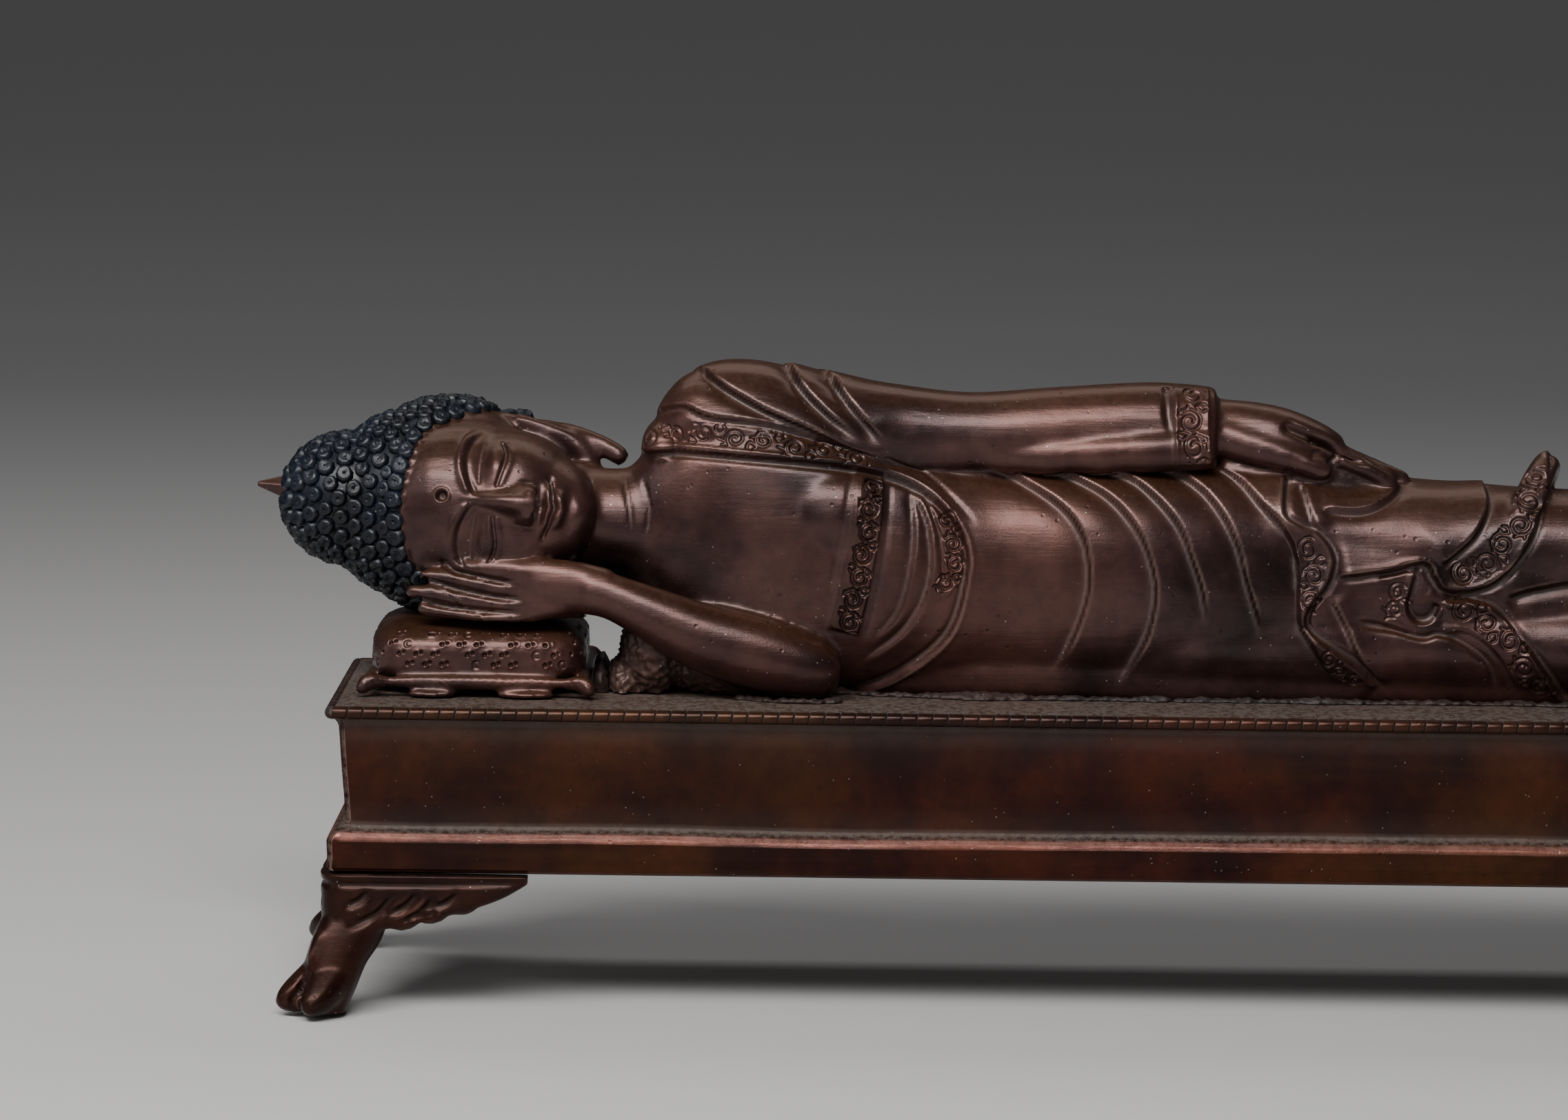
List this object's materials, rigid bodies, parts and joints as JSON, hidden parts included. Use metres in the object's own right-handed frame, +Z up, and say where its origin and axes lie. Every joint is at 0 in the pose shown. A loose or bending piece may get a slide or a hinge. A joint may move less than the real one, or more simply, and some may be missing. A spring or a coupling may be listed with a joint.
{
  "type": "reclining buddha statue on a couch",
  "caption": "Cast copper figure lying on its right side, head on hand and pillow, on a long couch with a roped rim and hoofed bracket legs.",
  "frame": {"origin": "centre of the footprint, on the plane of the four soles", "axes": "+X from the head to the feet, the figure faces -Y, +Z up"},
  "size_m": [0.3628, 0.0786, 0.1152],
  "materials": {
    "figure_copper": "dark brown copper patina, worn brighter on the high places",
    "couch_copper": "red-brown copper patina, golden on worn edges"
  },
  "bodies": {
    "root": {"figure": "figure_copper", "pillow": "figure_copper", "couch": "couch_copper", "leg_front_left": "couch_copper", "leg_front_right": "couch_copper", "leg_back_left": "couch_copper", "leg_back_right": "couch_copper"}
  },
  "joints": []
}
